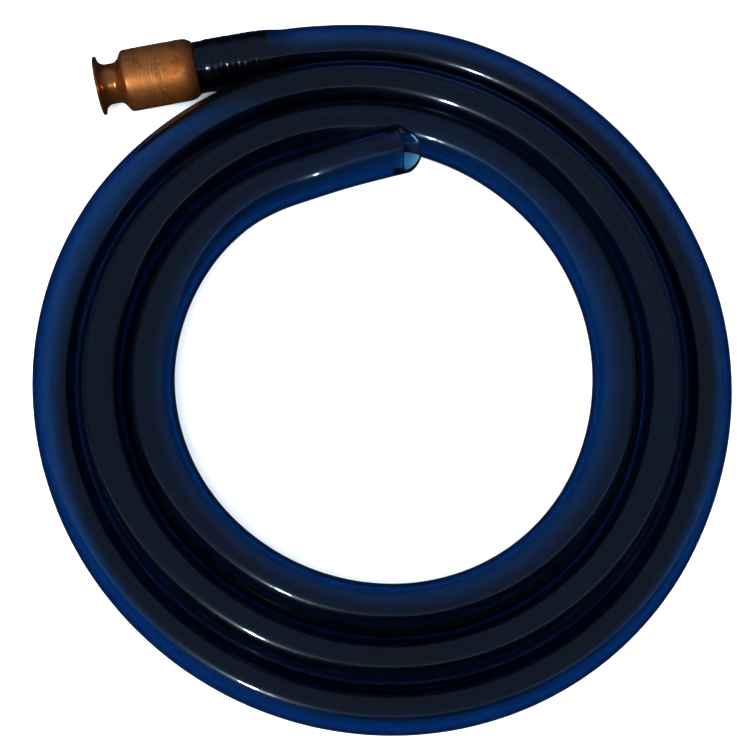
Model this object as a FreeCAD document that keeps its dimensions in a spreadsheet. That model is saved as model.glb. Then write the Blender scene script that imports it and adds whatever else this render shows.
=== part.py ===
"""Self-priming siphon hose: a copper foot valve with a loose glass ball, on a coiled PVC hose.

Frame: +X along the valve from its foot to the hose, +Z up, z = 0 the surface that it lies on.
The origin is under the middle of the valve. The hose lies in a flat coil on the -Y side.
All sizes are in millimetres.
"""
import FreeCAD
import Part

import math
import os
import re

import Sketcher

V = FreeCAD.Vector

# Driving dimensions. x sizes of the valve are measured along its axis from the foot's face.
SIZES = {
    # drawn copper shell
    "wall": 0.9,
    "foot_radius": 10.4,
    "flare_round": 3.3,
    "neck_radius": 7.1,
    "neck_end": 6.1,
    "shoulder_hollow": 3.0,
    "shoulder_round": 1.8,
    "shoulder_slope": 60.0,
    "barrel_radius": 11.0,
    "barrel_end": 31.6,
    "rear_round": 5.3,
    "rear_length": 3.9,
    # hose tail
    "tail_front": 27.5,
    "tail_end": 61.9,
    "tail_radius": 7.5,
    "tail_bore": 6.6,
    "tail_neck_radius": 7.1,
    "tail_neck_end": 38.6,
    "flange_thick": 1.0,
    "ridge_start": 39.9,
    "ridge_pitch": 2.1,
    "ridge_radius": 2.6,
    "ridge_count": 8,
    "tail_tip_round": 0.6,
    # ball and its stop
    "ball_radius": 8.0,
    "seat_gap": 0.3,
    "pin_radius": 1.0,
    "pin_setback": 1.7,
    # hose
    "hose_radius": 8.5,
    "hose_bore": 6.35,
    "stretched_radius": 9.4,
    "stretched_length": 22.5,
    "stretched_taper": 8.0,
    # coil: its two outer turns are one ring, and its inner turn lies on them, off centre
    "coil_center_x": 48.0,
    "coil_center_y": -125.0,
    "first_turn": 110.5,
    "first_turn_height": 8.5,
    "second_turn": 94.3,
    "second_turn_height": 14.1,
    "third_turn": 84.0,
    "third_turn_height": 18.6,
    "third_turn_x": 49.5,
    "third_turn_y": -120.5,
}

# Route of the hose where it isn't part of the round coil, as the corners of its straight runs:
# from behind the barrel until it has joined the coil's first turn, and its free inner end.
LEAD_ROUTE = [
    (4.55, 0, 11),
    (33, 0, 11),
    (57, -1.8, 9.2),
    (80, -7, 8.6),
    (103.5, -18, 8.55),
    (127, -37, 8.55),
    (146, -63, 8.55),
    (157.5, -93, 8.55),
    (161.5, -124.5, 8.55),
    (156.5, -156, 8.55),
]
END_ROUTE = [
    (-8, -68, 19),
    (7, -57, 19),
    (21.5, -51.8, 19.3),
    (36.5, -50.1, 20.6),
    (52.5, -49.6, 25.4),
    (69.4, -50.8, 31.8),
]
ARC_SHARE = 0.45  # of the shorter run, taken by each arc's tangent length

doc = FreeCAD.newDocument("siphon_hose")
sheet = doc.addObject("Spreadsheet::Sheet", "Sizes")
for row, (name, size) in enumerate(SIZES.items(), start=1):
    sheet.set(f"A{row}", name)
    sheet.set(f"B{row}", str(size))
    sheet.setAlias(f"B{row}", name)
doc.recompute()


def value(expression):
    """The number that an expression of the sheet's aliases gives."""
    result = sheet.evalExpression(expression)
    return float(getattr(result, "Value", result))


def on_sheet(expression):
    """The same expression as other objects write it, with each alias taken from the sheet."""
    return re.sub(r"[a-z_]+", lambda word: "Sizes." * (word[0] in SIZES) + word[0], expression)


def origin_plane(body, role):
    return next(f for f in body.Origin.OriginFeatures if f.Role == role)


def new_body(name):
    body = doc.addObject("PartDesign::Body", name)
    body.Label = name
    return body


def new_sketch(body, name, role):
    sketch = body.newObject("Sketcher::SketchObject", name)
    sketch.AttachmentSupport = [(origin_plane(body, role), "")]
    sketch.MapMode = "FlatFace"
    return sketch


def bind_size(sketch, constraint, expression):
    index = sketch.addConstraint(constraint)
    sketch.setExpression(f"Constraints[{index}]", on_sheet(expression))


def arc_between(start, end, radius, side):
    """The arc from start to end whose middle lies on that side: 1 left of the way there, -1 right."""
    chord = end - start
    half = chord.Length / 2
    left = V(-chord.y, chord.x, 0) / chord.Length
    rise = radius - math.sqrt(radius**2 - half**2)
    return Part.Arc(start, (start + end) / 2 + left * rise * side, end)


def closed_outline(sketch, corners):
    """A closed outline of corners (x, y, edge), where edge is None for a straight edge to the next
    corner, or (radius, side) for an arc to it. Each size is an expression of the sheet's aliases."""
    points = [V(value(x), value(y), 0) for x, y, _ in corners]
    count = len(corners)
    ends = []
    for i, (_, _, edge) in enumerate(corners):
        start, end = points[i], points[(i + 1) % count]
        if edge is None:
            sketch.addGeometry(Part.LineSegment(start, end))
            ends.append((1, 2))
        else:
            arc = arc_between(start, end, value(edge[0]), edge[1])
            index = sketch.addGeometry(arc)
            forward = sketch.getPoint(index, 1).distanceToPoint(start) < 1e-6
            ends.append((1, 2) if forward else (2, 1))
    for i, (x, y, edge) in enumerate(corners):
        after = (i + 1) % count
        sketch.addConstraint(Sketcher.Constraint("Coincident", i, ends[i][1], after, ends[after][0]))
        for kind, expression, size in (("DistanceX", x, points[i].x), ("DistanceY", y, points[i].y)):
            bind_size(sketch, Sketcher.Constraint(kind, -1, 1, i, ends[i][0], size), expression)
        if edge is not None:
            bind_size(sketch, Sketcher.Constraint("Radius", i, value(edge[0])), edge[0])


def turned(body, sketch, axis="H_Axis"):
    """A full turn of the sketch about one of its axes."""
    turn = body.newObject("PartDesign::Revolution", sketch.Name + "_turn")
    turn.Profile = sketch
    turn.ReferenceAxis = (sketch, [axis])
    turn.Angle = 360
    return turn


def lay_on_axis(feature):
    """Puts a piece drawn from the foot's face along the x axis onto the valve's axis."""
    feature.setExpression(".Placement.Base.x", on_sheet("- tail_end / 2"))
    feature.setExpression(".Placement.Base.z", on_sheet("barrel_radius"))


# ---------------------------------------------------------------- valve body
REAR_END = "barrel_end + rear_length"


def rear_height(radius, reach):
    """How far from the axis an arc about the rear shoulder's centre is, that far along from it."""
    return f"barrel_radius - rear_round + sqrt( {radius} ^ 2 - {reach} ^ 2 )"


def make_valve_body():
    """One drawn copper shell: flared foot, neck, shoulder, barrel and rolled rear shoulder."""
    body = new_body("valve_body")
    sketch = new_sketch(body, "shell_section", "XY_Plane")
    hollow_center = "neck_radius + shoulder_hollow"
    round_center = "barrel_radius - shoulder_round"
    sine, cosine = "sin(shoulder_slope * 1 deg)", "cos(shoulder_slope * 1 deg)"
    rise = f"{round_center} + shoulder_round * {cosine}"
    rise += f" - ( {hollow_center} - shoulder_hollow * {cosine} )"
    slope_start = f"neck_end + shoulder_hollow * {sine}"
    slope_end = f"{slope_start} + ( {rise} ) / tan(shoulder_slope * 1 deg)"
    barrel_start = f"{slope_end} + shoulder_round * {sine}"
    closed_outline(
        sketch,
        [
            # outside, from the foot to the rear
            ("0", "foot_radius", None),
            ("wall", "foot_radius", ("flare_round", -1)),
            ("wall + flare_round", "neck_radius", None),
            ("neck_end", "neck_radius", ("shoulder_hollow", -1)),
            (slope_start, f"{hollow_center} - shoulder_hollow * {cosine}", None),
            (slope_end, f"{round_center} + shoulder_round * {cosine}", ("shoulder_round", 1)),
            (barrel_start, "barrel_radius", None),
            ("barrel_end", "barrel_radius", ("rear_round", 1)),
            (REAR_END, rear_height("rear_round", "rear_length"), None),
            (REAR_END, "tail_neck_radius", None),
            # inside, back to the foot
            (f"{REAR_END} - wall", "tail_neck_radius", None),
            (
                f"{REAR_END} - wall",
                rear_height("( rear_round - wall )", "( rear_length - wall )"),
                ("rear_round - wall", -1),
            ),
            ("barrel_end", "barrel_radius - wall", None),
            (barrel_start, "barrel_radius - wall", ("shoulder_round - wall", -1)),
            (
                f"{slope_end} + wall * {sine}",
                f"{round_center} + ( shoulder_round - wall ) * {cosine}",
                None,
            ),
            (
                f"{slope_start} + wall * {sine}",
                f"{hollow_center} - ( shoulder_hollow + wall ) * {cosine}",
                ("shoulder_hollow + wall", 1),
            ),
            ("neck_end", "neck_radius - wall", None),
            ("wall + flare_round", "neck_radius - wall", ("flare_round + wall", 1)),
        ],
    )
    turned(body, sketch)
    lay_on_axis(body)
    return body


# ---------------------------------------------------------------- hose tail
def make_hose_tail():
    """Copper tube with a flange that sits in the barrel and rolled ridges that grip the hose."""
    body = new_body("hose_tail")
    sketch = new_sketch(body, "tail_section", "XY_Plane")
    flange_front = "barrel_end - flange_thick"
    corners = [
        ("tail_front", "tail_bore", None),
        ("tail_front", "tail_radius", None),
        (flange_front, "tail_radius", None),
        (flange_front, "barrel_radius - wall", None),
        ("barrel_end", "barrel_radius - wall", None),
        ("barrel_end", "tail_neck_radius", None),
        ("tail_neck_end", "tail_neck_radius", None),
        ("ridge_start", "tail_radius", ("ridge_radius", 1)),
    ]
    ridges = int(SIZES["ridge_count"])
    for ridge in range(1, ridges):
        corners.append((f"ridge_start + {ridge} * ridge_pitch", "tail_radius", ("ridge_radius", 1)))
    corners += [
        (f"ridge_start + {ridges} * ridge_pitch", "tail_radius", None),
        ("tail_end - tail_tip_round", "tail_radius", ("tail_tip_round", 1)),
        ("tail_end", "tail_radius - tail_tip_round", None),
        ("tail_end", "tail_bore", None),
    ]
    closed_outline(sketch, corners)
    turned(body, sketch)
    doc.recompute()
    solid_tail = body.Shape.Volume

    hole = new_sketch(body, "pin_hole", "XZ_Plane")
    center = V(value("tail_front + pin_setback"), 0, 0)
    circle = hole.addGeometry(Part.Circle(center, V(0, 0, 1), value("pin_radius")))
    hole.addConstraint(Sketcher.Constraint("PointOnObject", circle, 3, -1))
    bind_size(hole, Sketcher.Constraint("DistanceX", -1, 1, circle, 3, center.x), "tail_front + pin_setback")
    bind_size(hole, Sketcher.Constraint("Radius", circle, value("pin_radius")), "pin_radius")
    cut = body.newObject("PartDesign::Pocket", "pin_hole_cut")
    cut.Profile = hole
    cut.Type = "ThroughAll"
    cut.Midplane = True
    doc.recompute()
    assert body.Shape.Volume < solid_tail, "the pin hole cut nothing"
    lay_on_axis(body)
    return body


# ---------------------------------------------------------------- stop pin and ball
def make_stop_pin():
    """Cross pin in the tail's mouth, which keeps the ball from closing it."""
    pin = doc.addObject("Part::Cylinder", "stop_pin")
    pin.Label = "stop_pin"
    pin.setExpression("Radius", on_sheet("pin_radius"))
    pin.setExpression("Height", on_sheet("tail_radius * 2"))
    pin.Placement.Rotation = FreeCAD.Rotation(V(1, 0, 0), 90)
    pin.setExpression(".Placement.Base.x", on_sheet("tail_front + pin_setback - tail_end / 2"))
    pin.setExpression(".Placement.Base.y", on_sheet("tail_radius"))
    pin.setExpression(".Placement.Base.z", on_sheet("barrel_radius"))
    return pin


def make_check_ball():
    """Glass ball, just off its seat on the rounded inside of the shoulder."""
    ball = doc.addObject("Part::Sphere", "check_ball")
    ball.Label = "check_ball"
    ball.setExpression("Radius", on_sheet("ball_radius"))
    reach = "( ball_radius + shoulder_hollow + wall )"
    drop = "( neck_radius + shoulder_hollow )"
    seated = f"neck_end + sqrt( {reach} * {reach} - {drop} * {drop} )"
    ball.setExpression(".Placement.Base.x", on_sheet(f"{seated} + seat_gap - tail_end / 2"))
    ball.setExpression(".Placement.Base.z", on_sheet("barrel_radius"))
    return ball


# ---------------------------------------------------------------- hose
def rounded_route(name, corners):
    """Straight runs joined by tangent arcs, each arc as large as its two runs allow."""
    points = [V(*corner) for corner in corners]
    edges, radii, begin = [], [], points[0]
    for before, corner, after in zip(points, points[1:], points[2:]):
        back, ahead = before - corner, after - corner
        tangent = ARC_SHARE * min(back.Length, ahead.Length)
        turn = math.pi - back.getAngle(ahead)
        radius = tangent / math.tan(turn / 2)
        radii.append(radius)
        back.normalize()
        ahead.normalize()
        toward = (back + ahead).normalize()
        middle = corner + toward * (radius / math.cos(turn / 2) - radius)
        arc_start, arc_end = corner + back * tangent, corner + ahead * tangent
        edges.append(Part.LineSegment(begin, arc_start).toShape())
        edges.append(Part.Arc(arc_start, middle, arc_end).toShape())
        begin = arc_end
    edges.append(Part.LineSegment(begin, points[-1]).toShape())
    route = doc.addObject("Part::Feature", name)
    route.Shape = Part.Wire(edges)
    print(name, "length", round(route.Shape.Length, 1), "radii", [round(r) for r in radii])
    return route


def swept_round(name, route, radius):
    """A round bar of that radius along the whole route."""
    first = route.Shape.Edges[0]
    ring = doc.addObject("Part::Circle", name + "_ring")
    ring.setExpression("Radius", on_sheet(radius))
    ring.Placement = FreeCAD.Placement(
        first.firstVertex().Point, FreeCAD.Rotation(V(0, 0, 1), first.tangentAt(first.FirstParameter))
    )
    sweep = doc.addObject("Part::Sweep", name)
    sweep.Sections = [ring]
    sweep.Spine = (route, [f"Edge{i + 1}" for i in range(len(route.Shape.Edges))])
    sweep.Solid = True
    sweep.Frenet = False
    doc.recompute()
    expected = math.pi * value(radius) ** 2 * route.Shape.Length
    print(name, "volume", round(sweep.Shape.Volume), "section times length", round(expected))
    assert abs(sweep.Shape.Volume / expected - 1) < 0.01, name
    return sweep


def cut_out(name, base, tool):
    cut = doc.addObject("Part::Cut", name)
    cut.Label = name
    cut.Base = base
    cut.Tool = tool
    doc.recompute()
    assert cut.Shape.Volume < base.Shape.Volume, name
    return cut


def around_axis(kind, name, start, sizes):
    """A round primitive on the valve's axis from that distance behind the foot's face."""
    thing = doc.addObject(f"Part::{kind}", name)
    for size, expression in sizes.items():
        thing.setExpression(size, on_sheet(expression))
    thing.Placement.Rotation = FreeCAD.Rotation(V(0, 1, 0), 90)
    thing.setExpression(".Placement.Base.x", on_sheet(f"{start} - tail_end / 2"))
    thing.setExpression(".Placement.Base.z", on_sheet("barrel_radius"))
    return thing


def make_hose_lead():
    """The hose from its end behind the barrel, stretched over the tail, to the coil."""
    route = rounded_route("lead_route", LEAD_ROUTE)
    sleeve = around_axis(
        "Cylinder", "lead_sleeve", REAR_END, {"Radius": "stretched_radius", "Height": "stretched_length"}
    )
    taper = around_axis(
        "Cone",
        "lead_taper",
        f"{REAR_END} + stretched_length",
        {"Radius1": "stretched_radius", "Radius2": "hose_radius", "Height": "stretched_taper"},
    )
    outside = doc.addObject("Part::MultiFuse", "lead_stretched")
    outside.Shapes = [swept_round("lead_outside", route, "hose_radius"), sleeve, taper]
    doc.recompute()
    hollow = cut_out("lead_hollow", outside, swept_round("lead_inside", route, "hose_bore"))
    on_tail = around_axis(
        "Cylinder",
        "lead_on_tail",
        REAR_END,
        {"Radius": "tail_radius", "Height": "tail_end - barrel_end - rear_length"},
    )
    return cut_out("hose_lead", hollow, on_tail)


def make_hose_coil():
    """The outer shape of the coil: its turns climb inward, each on the flank of the last."""
    body = new_body("outer_turns")
    sketch = new_sketch(body, "turns_section", "XZ_Plane")
    outer = V(SIZES["first_turn"], SIZES["first_turn_height"], 0)
    inner = V(SIZES["second_turn"], SIZES["second_turn_height"], 0)
    radius = SIZES["hose_radius"]
    along = (inner - outer).normalize()
    above = V(along.y, -along.x, 0) * radius
    sketch.addGeometry(
        [
            Part.LineSegment(outer + above, inner + above),
            Part.Arc(inner + above, inner + along * radius, inner - above),
            Part.LineSegment(inner - above, outer - above),
            Part.Arc(outer - above, outer - along * radius, outer + above),
        ]
    )
    ends = {}
    for edge in range(4):
        for end in (1, 2):
            point = sketch.getPoint(edge, end)
            ends.setdefault((round(point.x, 4), round(point.y, 4)), []).extend((edge, end))
    for joined in ends.values():
        sketch.addConstraint(Sketcher.Constraint("Tangent", *joined))
    for edge, turn in ((1, "second_turn"), (3, "first_turn")):
        for kind, alias in (("DistanceX", turn), ("DistanceY", f"{turn}_height")):
            bind_size(sketch, Sketcher.Constraint(kind, -1, 1, edge, 3, SIZES[alias]), alias)
    bind_size(sketch, Sketcher.Constraint("Radius", 1, radius), "hose_radius")
    turned(body, sketch, "V_Axis")
    body.setExpression(".Placement.Base.x", on_sheet("coil_center_x"))
    body.setExpression(".Placement.Base.y", on_sheet("coil_center_y"))

    third = doc.addObject("Part::Torus", "inner_turn")
    third.setExpression("Radius1", on_sheet("third_turn"))
    third.setExpression("Radius2", on_sheet("hose_radius"))
    third.Placement.Rotation = FreeCAD.Rotation(V(0, 0, 1), 90)  # keeps the two rings' seams apart
    third.setExpression(".Placement.Base.x", on_sheet("third_turn_x"))
    third.setExpression(".Placement.Base.y", on_sheet("third_turn_y"))
    third.setExpression(".Placement.Base.z", on_sheet("third_turn_height"))

    coil = doc.addObject("Part::Fuse", "hose_coil")
    coil.Label = "hose_coil"
    coil.Base = body
    coil.Tool = third
    doc.recompute()
    together = body.Shape.Volume + third.Shape.Volume
    assert body.Shape.Volume < coil.Shape.Volume < together, "the coil's turns aren't joined"
    return coil


def make_hose_end():
    """The hose's free inner end, which rides up over the innermost turn, with its open mouth."""
    route = rounded_route("end_route", END_ROUTE)
    outside = swept_round("end_outside", route, "hose_radius")
    inside = swept_round("end_inside", route, "hose_bore")
    return cut_out("hose_end", outside, inside)


def main():
    parts = [
        make_valve_body(),
        make_hose_tail(),
        make_stop_pin(),
        make_check_ball(),
        make_hose_lead(),
        make_hose_coil(),
        make_hose_end(),
    ]
    doc.recompute()
    for thing in doc.Objects:
        bad = [state for state in thing.State if state in ("Invalid", "Error")]
        assert not bad, f"{thing.Name}: {bad}"
    for part in parts:
        assert not part.Shape.isNull() and part.Shape.isValid(), part.Label
    os.makedirs("parts", exist_ok=True)
    for part in parts:
        part.Shape.exportStep(f"parts/{part.Label}.step")
        box = part.Shape.BoundBox
        print(part.Label, "volume", round(part.Shape.Volume, 1), "solids", len(part.Shape.Solids), box)


main()
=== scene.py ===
"""Self-priming siphon hose: a copper foot valve on a translucent blue vinyl hose in a flat coil.

Metres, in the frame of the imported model: +X along the valve from foot to hose, +Z up, z = 0 the floor.
"""

import math

import bpy
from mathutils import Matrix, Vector, noise


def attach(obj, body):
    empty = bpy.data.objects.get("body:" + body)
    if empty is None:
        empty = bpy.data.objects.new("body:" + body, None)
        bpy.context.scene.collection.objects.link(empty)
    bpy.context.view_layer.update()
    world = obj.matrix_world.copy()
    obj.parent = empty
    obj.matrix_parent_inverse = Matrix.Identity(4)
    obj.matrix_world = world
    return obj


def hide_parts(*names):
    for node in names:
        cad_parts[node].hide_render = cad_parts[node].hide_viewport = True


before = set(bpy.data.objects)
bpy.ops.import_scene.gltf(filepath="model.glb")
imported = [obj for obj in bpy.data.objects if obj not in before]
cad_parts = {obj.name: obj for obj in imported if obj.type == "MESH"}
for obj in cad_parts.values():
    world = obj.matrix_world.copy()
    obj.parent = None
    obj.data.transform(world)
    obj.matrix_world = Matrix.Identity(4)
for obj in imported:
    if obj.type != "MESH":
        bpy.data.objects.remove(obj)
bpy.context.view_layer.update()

MM = 0.001

# Sizes of the hose.
HOSE_RADIUS = 8.5 * MM
BORE_RADIUS = 6.35 * MM

# Route of the hose where it isn't part of the round coil, in millimetres: from behind the barrel
# until it has joined the coil's first turn, and its free inner end.
LEAD_ROUTE = [
    (4.55, 0, 11),
    (33, 0, 11),
    (57, -1.8, 9.2),
    (80, -7, 8.6),
    (103.5, -18, 8.55),
    (127, -37, 8.55),
    (146, -63, 8.55),
    (157.5, -93, 8.55),
    (161.5, -124.5, 8.55),
    (156.5, -156, 8.55),
]
END_ROUTE = [
    (-8, -68, 19),
    (7, -57, 19),
    (21.5, -51.8, 19.3),
    (36.5, -50.1, 20.6),
    (52.5, -49.6, 25.4),
    (69.4, -50.8, 31.8),
]

# The coil, wound clockwise from above. Angles are degrees round its centre from +X, and the way
# wound is counted from COIL_START, beside the valve's foot.
COIL_CENTER = Vector((47.2, -125.3)) * MM
COIL_START = 124
COIL_FIRST = 155
COIL_LAST = 1055
COIL_STEP = 15
TURN_SPACING = 17.15 * MM


# ---------------------------------------------------------------- camera
HEADING = math.radians(78.86)  # of the camera, and of the glow beyond the coil


def aim(thing, target):
    """Turns a camera or light towards a point, upright."""
    thing.rotation_euler = (Vector(target) - thing.location).to_track_quat("-Z", "Y").to_euler()


def make_camera():
    """Seen from nearly overhead, a little from the -Y side and turned 11 degrees about +Z."""
    data = bpy.data.cameras.new("camera")
    data.lens = 72
    data.sensor_width = 36
    camera = bpy.data.objects.new("camera", data)
    bpy.context.scene.collection.objects.link(camera)
    target = Vector((0.0461, -0.1201, 0))
    distance, elevation = 0.5282, math.radians(79.5)
    level = Vector((math.cos(HEADING), math.sin(HEADING), 0))
    back = Vector((0, 0, math.sin(elevation))) - level * math.cos(elevation)
    camera.location = target + back * distance
    aim(camera, target)
    bpy.context.scene.camera = camera


# ---------------------------------------------------------------- hose route
def smooth(t):
    """Eases from 0 to 1 as t does."""
    t = min(max(t, 0), 1)
    return t * t * (3 - 2 * t)


def coil_lift(wound):
    """How high the hose's centre is: it comes down from the valve, then each turn climbs onto the
    flank of the turn outside it, and the last turn settles again before the free end."""
    angle = math.radians(COIL_START - wound)
    first = 2.5 * (1 - smooth((wound - 20) / 35))
    climb = 6.7 + 0.5 * math.cos(angle - math.radians(120)) + 0.9 * math.cos(2 * angle)
    second = climb * smooth((wound - 270) / 120)
    third = 5.0 * smooth((wound - 630) / 150) - 2.1 * smooth((wound - 930) / 120)
    return HOSE_RADIUS + (first + second + third) * MM


def coil_radius(wound):
    """Distance of the hose's centre from the coil's: the first turn is a slightly uneven ring that
    starts wide, and each later turn rests against the one outside it."""
    if wound < 360:
        angle = math.radians(COIL_START - wound)
        wide = 16.4 * (1 - smooth((wound - 18) / 145))
        uneven = 1.1 * math.cos(angle + 2.33) + 2.3 * math.cos(2 * angle + 1.53)
        return (109.9 + wide + uneven) * MM
    rise = coil_lift(wound) - coil_lift(wound - 360)
    return coil_radius(wound - 360) - math.sqrt(TURN_SPACING**2 - rise**2)


def coil_points():
    """Control points of the coil: a little outside the curve, which passes inside its corners."""
    for wound in range(COIL_FIRST, COIL_LAST + 1, COIL_STEP):
        angle = math.radians(COIL_START - wound)
        reach = coil_radius(wound) / math.cos(math.radians(COIL_STEP / 2))
        flat = COIL_CENTER + Vector((math.cos(angle), math.sin(angle))) * reach
        yield Vector((flat.x, flat.y, coil_lift(wound)))


def hose_line():
    """Points along the hose's one smooth spline."""
    corners = [Vector(p) * MM for p in LEAD_ROUTE]
    corners += coil_points()
    corners += [Vector(p) * MM for p in END_ROUTE]
    data = bpy.data.curves.new("hose_route", "CURVE")
    data.dimensions = "3D"
    data.resolution_u = 100
    spline = data.splines.new("NURBS")
    spline.points.add(len(corners) - 1)
    for point, corner in zip(spline.points, corners):
        point.co = (*corner, 1)
    spline.order_u = 3
    spline.use_endpoint_u = True
    route = bpy.data.objects.new("hose_route", data)
    mesh = bpy.data.meshes.new_from_object(route)
    line = [v.co.copy() for v in mesh.vertices]
    bpy.data.meshes.remove(mesh)
    bpy.data.curves.remove(data)
    return line


# ---------------------------------------------------------------- hose
TAIL_COVER = 26.4 * MM  # how much of the hose is over the tail
TAIL_STRETCH = 0.6 * MM  # how much the tail widens the hose's bore
RING_SIDES = 56
RING_SPACING = 2.2 * MM
FINE_SPACING = 0.24 * MM  # over the tail and near the cut end
FINE_LENGTH = 40 * MM
ROUNDING = 0.35 * MM  # of the rims at both ends
CUT_LENGTH = 14 * MM  # how much of the hose the cut end's shape spreads over
CUT_SIDE = math.radians(180)  # the side that the cut leaves longest, turned from the top
LIP = 1.0 * MM  # how much the wall thins at the cut's edge
LIP_LENGTH = 5 * MM


def thinned(line):
    """The line's points, close together over the tail and near the cut end, and wider elsewhere."""
    total = sum((b - a).length for a, b in zip(line, line[1:]))
    kept, along, last = [line[0]], 0, 0
    for a, b in zip(line, line[1:]):
        along += (b - a).length
        fine = along < FINE_LENGTH or along > total - CUT_LENGTH
        if along - last >= (FINE_SPACING if fine else RING_SPACING):
            kept.append(b)
            last = along
    if (kept[-1] - line[-1]).length < FINE_SPACING / 2:
        kept.pop()
    return kept + [line[-1]]


def tail_shape(along, angle):
    """How far the hose is stretched over the tail there, in metres: faint ridges, the tail's neck, a
    taper behind its end, and small lumps where the vinyl was worked on."""
    if along > TAIL_COVER + 10 * MM:
        return 0
    stretch = 1.0 - smooth((along - TAIL_COVER + 3 * MM) / (10 * MM))
    neck = 0.25 * (1 - smooth((along - 3.2 * MM) / (1.6 * MM)))
    gripped = smooth((along - 3 * MM) / (2 * MM)) * (1 - smooth((along - 21 * MM) / (3 * MM)))
    ridge = math.cos(2 * math.pi * (along - 5.45 * MM) / (2.1 * MM))
    spot = Vector((along / (1.9 * MM), 2.6 * math.cos(angle), 2.6 * math.sin(angle)))
    lumps = 0.07 * gripped * ridge + 0.12 * noise.noise(spot) * stretch
    return (0.9 * stretch - neck + lumps) * MM


def cut_reach(before_end, side):
    """How far the cut end's rim is pushed along the hose there: it was cut with the hose pinched
    flat, which leaves two opposite sides long. side is the angle from the longest."""
    return (3.5 * math.cos(side) ** 2 + 0.7 * math.cos(side)) * MM * smooth(1 - before_end / CUT_LENGTH)


def frames(line):
    """At each point the direction along the line, and two directions across it that don't twist."""
    result = []
    across = Vector((0, 0, 1))
    for i in range(len(line)):
        along = (line[min(i + 1, len(line) - 1)] - line[max(i - 1, 0)]).normalized()
        across = (across - along * across.dot(along)).normalized()
        result.append((along, across, along.cross(across)))
    return result


def make_hose(material):
    """The hose as one closed skin: loops of vertices round its outside from the valve to the cut
    end, and back round its bore. It is pressed into the tail, so that no air shows between them."""
    line = thinned(hose_line())
    steps = [0]
    for a, b in zip(line, line[1:]):
        steps.append(steps[-1] + (b - a).length)
    total = steps[-1]
    vertices, faces = [], []
    loops = []
    spots = frames(line)
    last = len(line) - 1

    def add_loop(i, radius, shift=0.0, outside=True):
        """One loop round the line's point i. shift moves it along the hose."""
        along, up, side = spots[i]
        loops.append(len(vertices))
        for k in range(RING_SIDES):
            angle = 2 * math.pi * k / RING_SIDES
            out = up * math.cos(angle) + side * math.sin(angle)
            push = cut_reach(total - steps[i], angle - CUT_SIDE) + shift
            grown = radius + (tail_shape(steps[i], angle) if outside else 0)
            vertices.append(line[i] + out * grown + along * push)

    add_loop(0, BORE_RADIUS + TAIL_STRETCH + ROUNDING, outside=False)
    add_loop(0, HOSE_RADIUS - ROUNDING)
    for i in range(len(line)):
        shift = ROUNDING if i == 0 else 0
        add_loop(i, HOSE_RADIUS, shift if i < last else -ROUNDING)
    add_loop(last, HOSE_RADIUS - ROUNDING)
    add_loop(last, BORE_RADIUS + LIP + ROUNDING, outside=False)
    for i in reversed(range(len(line))):
        inside = BORE_RADIUS + LIP * smooth(1 - (total - steps[i]) / LIP_LENGTH)
        if steps[i] < TAIL_COVER + 4 * MM:
            inside += TAIL_STRETCH * (1 - smooth((steps[i] - TAIL_COVER) / (4 * MM)))
        shift = -ROUNDING if i == last else (ROUNDING if i == 0 else 0)
        add_loop(i, inside, shift, outside=False)
    count = len(loops)
    for n in range(count):
        a, b = loops[n], loops[(n + 1) % count]
        for k in range(RING_SIDES):
            after = (k + 1) % RING_SIDES
            faces.append((a + k, a + after, b + after, b + k))
    mesh = bpy.data.meshes.new("hose")
    mesh.from_pydata(vertices, [], faces)
    mesh.polygons.foreach_set("use_smooth", [True] * len(mesh.polygons))
    mesh.materials.append(material)
    hose = bpy.data.objects.new("hose", mesh)
    bpy.context.scene.collection.objects.link(hose)
    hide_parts("hose_lead", "hose_coil", "hose_end")
    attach(hose, "siphon")


# ---------------------------------------------------------------- materials
def new_material(name):
    material = bpy.data.materials.new(name)
    material.use_nodes = True
    tree = material.node_tree
    return material, tree, tree.nodes["Principled BSDF"]


def add_node(tree, kind, settings=(), **inputs):
    """A new node with those settings and inputs. An input is a value, or a socket that it's linked
    to. Its name is the socket's in lower case with _ for spaces, or in_ and the socket's number."""
    node = tree.nodes.new("ShaderNode" + kind)
    for key, setting in dict(settings).items():
        setattr(node, key, setting)
    by_name = {socket.name.lower().replace(" ", "_"): socket for socket in reversed(node.inputs)}
    for key, wanted in inputs.items():
        socket = node.inputs[int(key[3:])] if key.startswith("in_") else by_name[key]
        if isinstance(wanted, bpy.types.NodeSocket):
            tree.links.new(wanted, socket)
        else:
            socket.default_value = wanted
    return node


def grain(tree, scale, detail=3.0, roughness=0.55):
    """Noise from 0 to 1 over the object, with scale in features a metre, the same or one per axis."""
    scales = scale if isinstance(scale, tuple) else (scale,) * 3
    place = add_node(tree, "TexCoord").outputs["Object"]
    place = add_node(tree, "Mapping", vector=place, scale=scales).outputs[0]
    texture = add_node(tree, "TexNoise", vector=place, scale=1.0, detail=detail, roughness=roughness)
    return texture.outputs[0]


def along_axis(tree):
    """The x coordinate of the spot, in metres."""
    place = add_node(tree, "TexCoord").outputs["Object"]
    return add_node(tree, "SeparateXYZ", vector=place).outputs[0]


def ranged(tree, fac, low, high, to_low=0.0, to_high=1.0):
    """Eases from to_low to to_high as fac goes from low to high."""
    settings = {"interpolation_type": "SMOOTHSTEP"}
    node = add_node(
        tree, "MapRange", settings, value=fac, from_min=low, from_max=high, to_min=to_low, to_max=to_high
    )
    return node.outputs[0]


def times(tree, a, b):
    return add_node(tree, "Math", {"operation": "MULTIPLY"}, in_0=a, in_1=b).outputs[0]


def mixed(tree, fac, a, b):
    """Colour a where fac is 0 and b where it's 1."""
    node = add_node(tree, "Mix", {"data_type": "RGBA"}, in_0=fac, in_6=a, in_7=b)
    return node.outputs[2]


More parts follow.
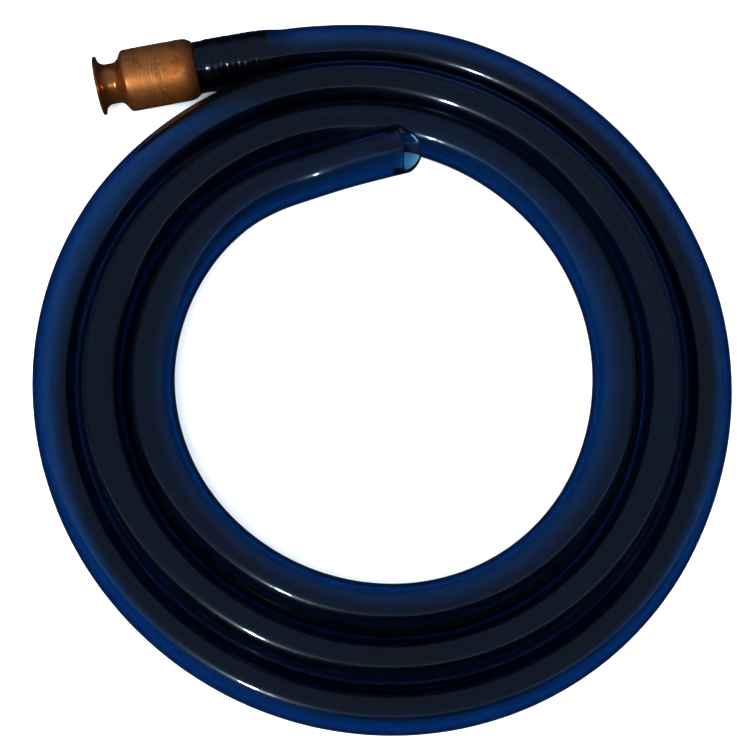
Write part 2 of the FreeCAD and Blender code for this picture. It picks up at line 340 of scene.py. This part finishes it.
def bump(tree, height, distance, strength=1.0):
    """Relief from a height between 0 and 1, of that distance in metres."""
    return add_node(tree, "Bump", height=height, distance=distance, strength=strength).outputs[0]


def vinyl():
    """Clear flexible vinyl, tinted deep blue all through, with a polished skin that's a little
    uneven, dulled in places by handling, and painted shade darkening it round the tail's end."""
    material, tree, shader = new_material("blue_vinyl")
    shader.inputs["IOR"].default_value = 1.53
    shader.inputs["Transmission Weight"].default_value = 1.0
    shader.inputs["Coat Weight"].default_value = 0.13
    shader.inputs["Coat Roughness"].default_value = 0.22
    smears = ranged(tree, grain(tree, 130.0, detail=5.0), 0.35, 0.75, 0.03, 0.09)
    tree.links.new(smears, shader.inputs["Roughness"])
    cloud_tone_and_painted_shade = mixed(tree, grain(tree, 40.0), (0.8, 0.88, 1.0, 1), (0.93, 0.97, 1.0, 1))
    # Painted shade: the base colour darkens towards a point near the tail's end, from 19 mm away to 3 mm,
    # so the dark look of the hose over the tail fades out instead of stopping sharply.
    place = add_node(tree, "TexCoord").outputs["Object"]
    gap = add_node(tree, "VectorMath", {"operation": "DISTANCE"}, in_0=place, in_1=(0.028, 0, 0.011))
    painted_shade_near_tail_end = ranged(tree, gap.outputs["Value"], 0.019, 0.003)
    cloud_tone_and_painted_shade = mixed(tree, painted_shade_near_tail_end, cloud_tone_and_painted_shade, (0.22, 0.28, 0.36, 1))
    tree.links.new(cloud_tone_and_painted_shade, shader.inputs["Base Color"])
    tree.links.new(bump(tree, grain(tree, 260.0, detail=2.0), 0.00003), shader.inputs["Normal"])
    tint = add_node(tree, "VolumeAbsorption", color=(0.0, 0.47, 0.65, 1), density=1660.0)
    tree.links.new(tint.outputs[0], tree.nodes["Material Output"].inputs["Volume"])
    return material


def copper():
    """Drawn copper shell: satin, with fine turning scratches round the front of the barrel, one deep
    scratch further back, blotches of tarnish, and painted shade darkening the foot, neck and rear
    shoulder."""
    material, tree, shader = new_material("drawn_copper")
    shader.inputs["Metallic"].default_value = 0.965
    # Along x the neck ends at -0.0249, and the barrel runs from -0.0198 to 0.0007.
    x = along_axis(tree)
    lines = grain(tree, (1700.0, 60.0, 60.0), detail=5.0, roughness=0.75)
    blotches = grain(tree, (170.0, 170.0, 170.0), detail=6.0, roughness=0.65)
    mottle = grain(tree, 1400.0, detail=2.0)

    clean, tarnish_and_painted_shade, bare = (0.75, 0.22, 0.045, 1), (0.28, 0.08, 0.024, 1), (0.95, 0.5, 0.2, 1)
    skin = mixed(tree, ranged(tree, blotches, 0.47, 0.68, 0.0, 0.75), clean, tarnish_and_painted_shade)
    skin = mixed(tree, ranged(tree, mottle, 0.5, 0.75, 0.0, 0.35), skin, (0.5, 0.17, 0.06, 1))
    # Painted shade: the colour darkens a little over the front shoulder and neck, more on the foot, and
    # most on the rear shoulder beside the hose.
    skin = mixed(tree, ranged(tree, x, -0.0185, -0.0225, 0.0, 0.2), skin, tarnish_and_painted_shade)
    skin = mixed(tree, ranged(tree, x, -0.0265, -0.0285, 0.0, 0.6), skin, (0.2, 0.07, 0.03, 1))
    skin = mixed(tree, ranged(tree, x, -0.004, 0.004, 0.0, 0.8), skin, tarnish_and_painted_shade)
    turned = times(tree, ranged(tree, x, -0.0205, -0.0185), ranged(tree, x, -0.006, -0.009))
    scratched = times(tree, ranged(tree, lines, 0.5, 0.64), turned)
    skin = mixed(tree, times(tree, scratched, 0.38), skin, bare)
    off = add_node(tree, "Math", {"operation": "SUBTRACT"}, in_0=x, in_1=-0.0076).outputs[0]
    off = add_node(tree, "Math", {"operation": "ABSOLUTE"}, in_0=off).outputs[0]
    deep = times(tree, ranged(tree, off, 0.0003, 0.0001), ranged(tree, mottle, 0.4, 0.6))
    skin = mixed(tree, times(tree, deep, 0.6), skin, bare)
    tree.links.new(skin, shader.inputs["Base Color"])
    satin = ranged(tree, blotches, 0.35, 0.7, 0.45, 0.6)
    satin = times(tree, satin, ranged(tree, x, -0.0225, -0.0185, 0.42, 1.0))
    tree.links.new(satin, shader.inputs["Roughness"])
    relief = add_node(tree, "Math", {"operation": "SUBTRACT"}, in_0=times(tree, lines, turned), in_1=deep)
    tree.links.new(bump(tree, relief.outputs[0], 0.00008), shader.inputs["Normal"])
    return material


def tarnished_copper():
    """The tail's tube under the hose, its copper painted nearly black as the shade inside the hose, with
    stains that vary its tone.
    """
    material, tree, shader = new_material("tarnished_copper")
    shader.inputs["Metallic"].default_value = 0.6
    stains = ranged(tree, grain(tree, 320.0, detail=6.0), 0.35, 0.7)
    skin = mixed(tree, stains, (0.10, 0.04, 0.02, 1), (0.03, 0.014, 0.01, 1))
    tree.links.new(skin, shader.inputs["Base Color"])
    tree.links.new(ranged(tree, stains, 0.0, 1.0, 0.45, 0.7), shader.inputs["Roughness"])
    tree.links.new(bump(tree, stains, 0.00005), shader.inputs["Normal"])
    return material


def brass_wire():
    """Drawn brass pin, with lines along it."""
    material, tree, shader = new_material("brass_wire")
    shader.inputs["Metallic"].default_value = 1.0
    drawn = grain(tree, (2600.0, 120.0, 2600.0), detail=3.0)
    skin = mixed(tree, drawn, (0.62, 0.42, 0.14, 1), (0.88, 0.68, 0.32, 1))
    tree.links.new(skin, shader.inputs["Base Color"])
    tree.links.new(ranged(tree, drawn, 0.3, 0.7, 0.2, 0.42), shader.inputs["Roughness"])
    tree.links.new(bump(tree, drawn, 0.00003), shader.inputs["Normal"])
    return material


def ball_glass():
    """Pressed glass ball with cloudy streaks and a few scuffs from rattling on its seat."""
    material, tree, shader = new_material("marble_glass")
    shader.inputs["Transmission Weight"].default_value = 1.0
    streaks = grain(tree, (90.0, 260.0, 260.0), detail=4.0)
    tint = mixed(tree, streaks, (0.62, 0.8, 0.74, 1), (0.92, 0.98, 0.95, 1))
    tree.links.new(tint, shader.inputs["Base Color"])
    scuffs = ranged(tree, grain(tree, 700.0, detail=5.0), 0.55, 0.75, 0.04, 0.4)
    tree.links.new(scuffs, shader.inputs["Roughness"])
    return material


def dress(node, material):
    """Puts a material in every slot of a CAD node."""
    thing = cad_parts[node]
    for slot in thing.material_slots:
        slot.material = material


# ---------------------------------------------------------------- surroundings
def make_floor():
    """A plain pale floor, kept out of mirror reflections."""
    material, tree, shader = new_material("floor")
    shader.inputs["Base Color"].default_value = (0.9, 0.9, 0.9, 1)
    shader.inputs["Roughness"].default_value = 0.8
    size = 8.0
    mesh = bpy.data.meshes.new("floor")
    corners = [(-size, -size, 0), (size, -size, 0), (size, size, 0), (-size, size, 0)]
    mesh.from_pydata(corners, [], [(0, 1, 2, 3)])
    mesh.materials.append(material)
    floor = bpy.data.objects.new("floor", mesh)
    bpy.context.scene.collection.objects.link(floor)
    floor.visible_glossy = False


def make_light(name, location, target, size, power, color, glossy=True):
    """A disk lamp. With glossy False it isn't seen in reflections or through the hose."""
    data = bpy.data.lights.new(name, "AREA")
    data.shape = "DISK"
    data.size = size
    data.energy = power
    data.color = color
    light = bpy.data.objects.new(name, data)
    light.location = location
    bpy.context.scene.collection.objects.link(light)
    aim(light, target)
    light.visible_glossy = glossy
    light.visible_transmission = glossy


def make_world():
    """A soft cool glow from overhead and beyond the coil, ending sharply on the near side with a
    brighter edge, over dark surroundings."""
    world = bpy.data.worlds.new("world")
    world.use_nodes = True
    tree = world.node_tree
    tilt = math.radians(30)
    near_edge = (math.cos(HEADING) * math.cos(tilt), math.sin(HEADING) * math.cos(tilt), math.sin(tilt))
    way = add_node(tree, "TexCoord").outputs["Generated"]
    beyond = add_node(tree, "VectorMath", {"operation": "DOT_PRODUCT"}, in_0=way, in_1=near_edge)
    beyond = beyond.outputs["Value"]
    height = add_node(tree, "SeparateXYZ", vector=way).outputs[2]
    glow = times(tree, ranged(tree, beyond, -0.04, 0.02), ranged(tree, height, 0.0, 0.7))
    edge = times(tree, ranged(tree, beyond, 0.12, 0.02), glow)
    color = mixed(tree, glow, (0.012, 0.016, 0.022, 1), (0.125, 0.2, 0.33, 1))
    color = mixed(tree, edge, color, (0.38, 0.5, 0.75, 1))
    background = tree.nodes["Background"]
    tree.links.new(color, background.inputs["Color"])
    bpy.context.scene.world = world


def make_lights():
    """A small hard key, up and to one side, and a wide soft lamp overhead, a little to that side."""
    middle = Vector((0.05, -0.12, 0))
    toward = math.radians(229)
    side = Vector((math.cos(toward), math.sin(toward), 0))
    key = middle + side * 0.75 + Vector((0, 0, 1.1))
    make_light("key", key, middle, 0.045, 7, (0.64, 0.82, 1.0))
    soft = middle + side * 0.55 + Vector((0, 0, 1.5))
    make_light("soft", soft, middle, 3.1, 150, (0.93, 0.97, 1.0), glossy=False)
    make_world()
    bpy.context.scene.view_settings.view_transform = "Standard"


make_camera()
make_hose(vinyl())
dress("valve_body", copper())
dress("hose_tail", tarnished_copper())
dress("stop_pin", brass_wire())
dress("check_ball", ball_glass())
make_floor()
make_lights()
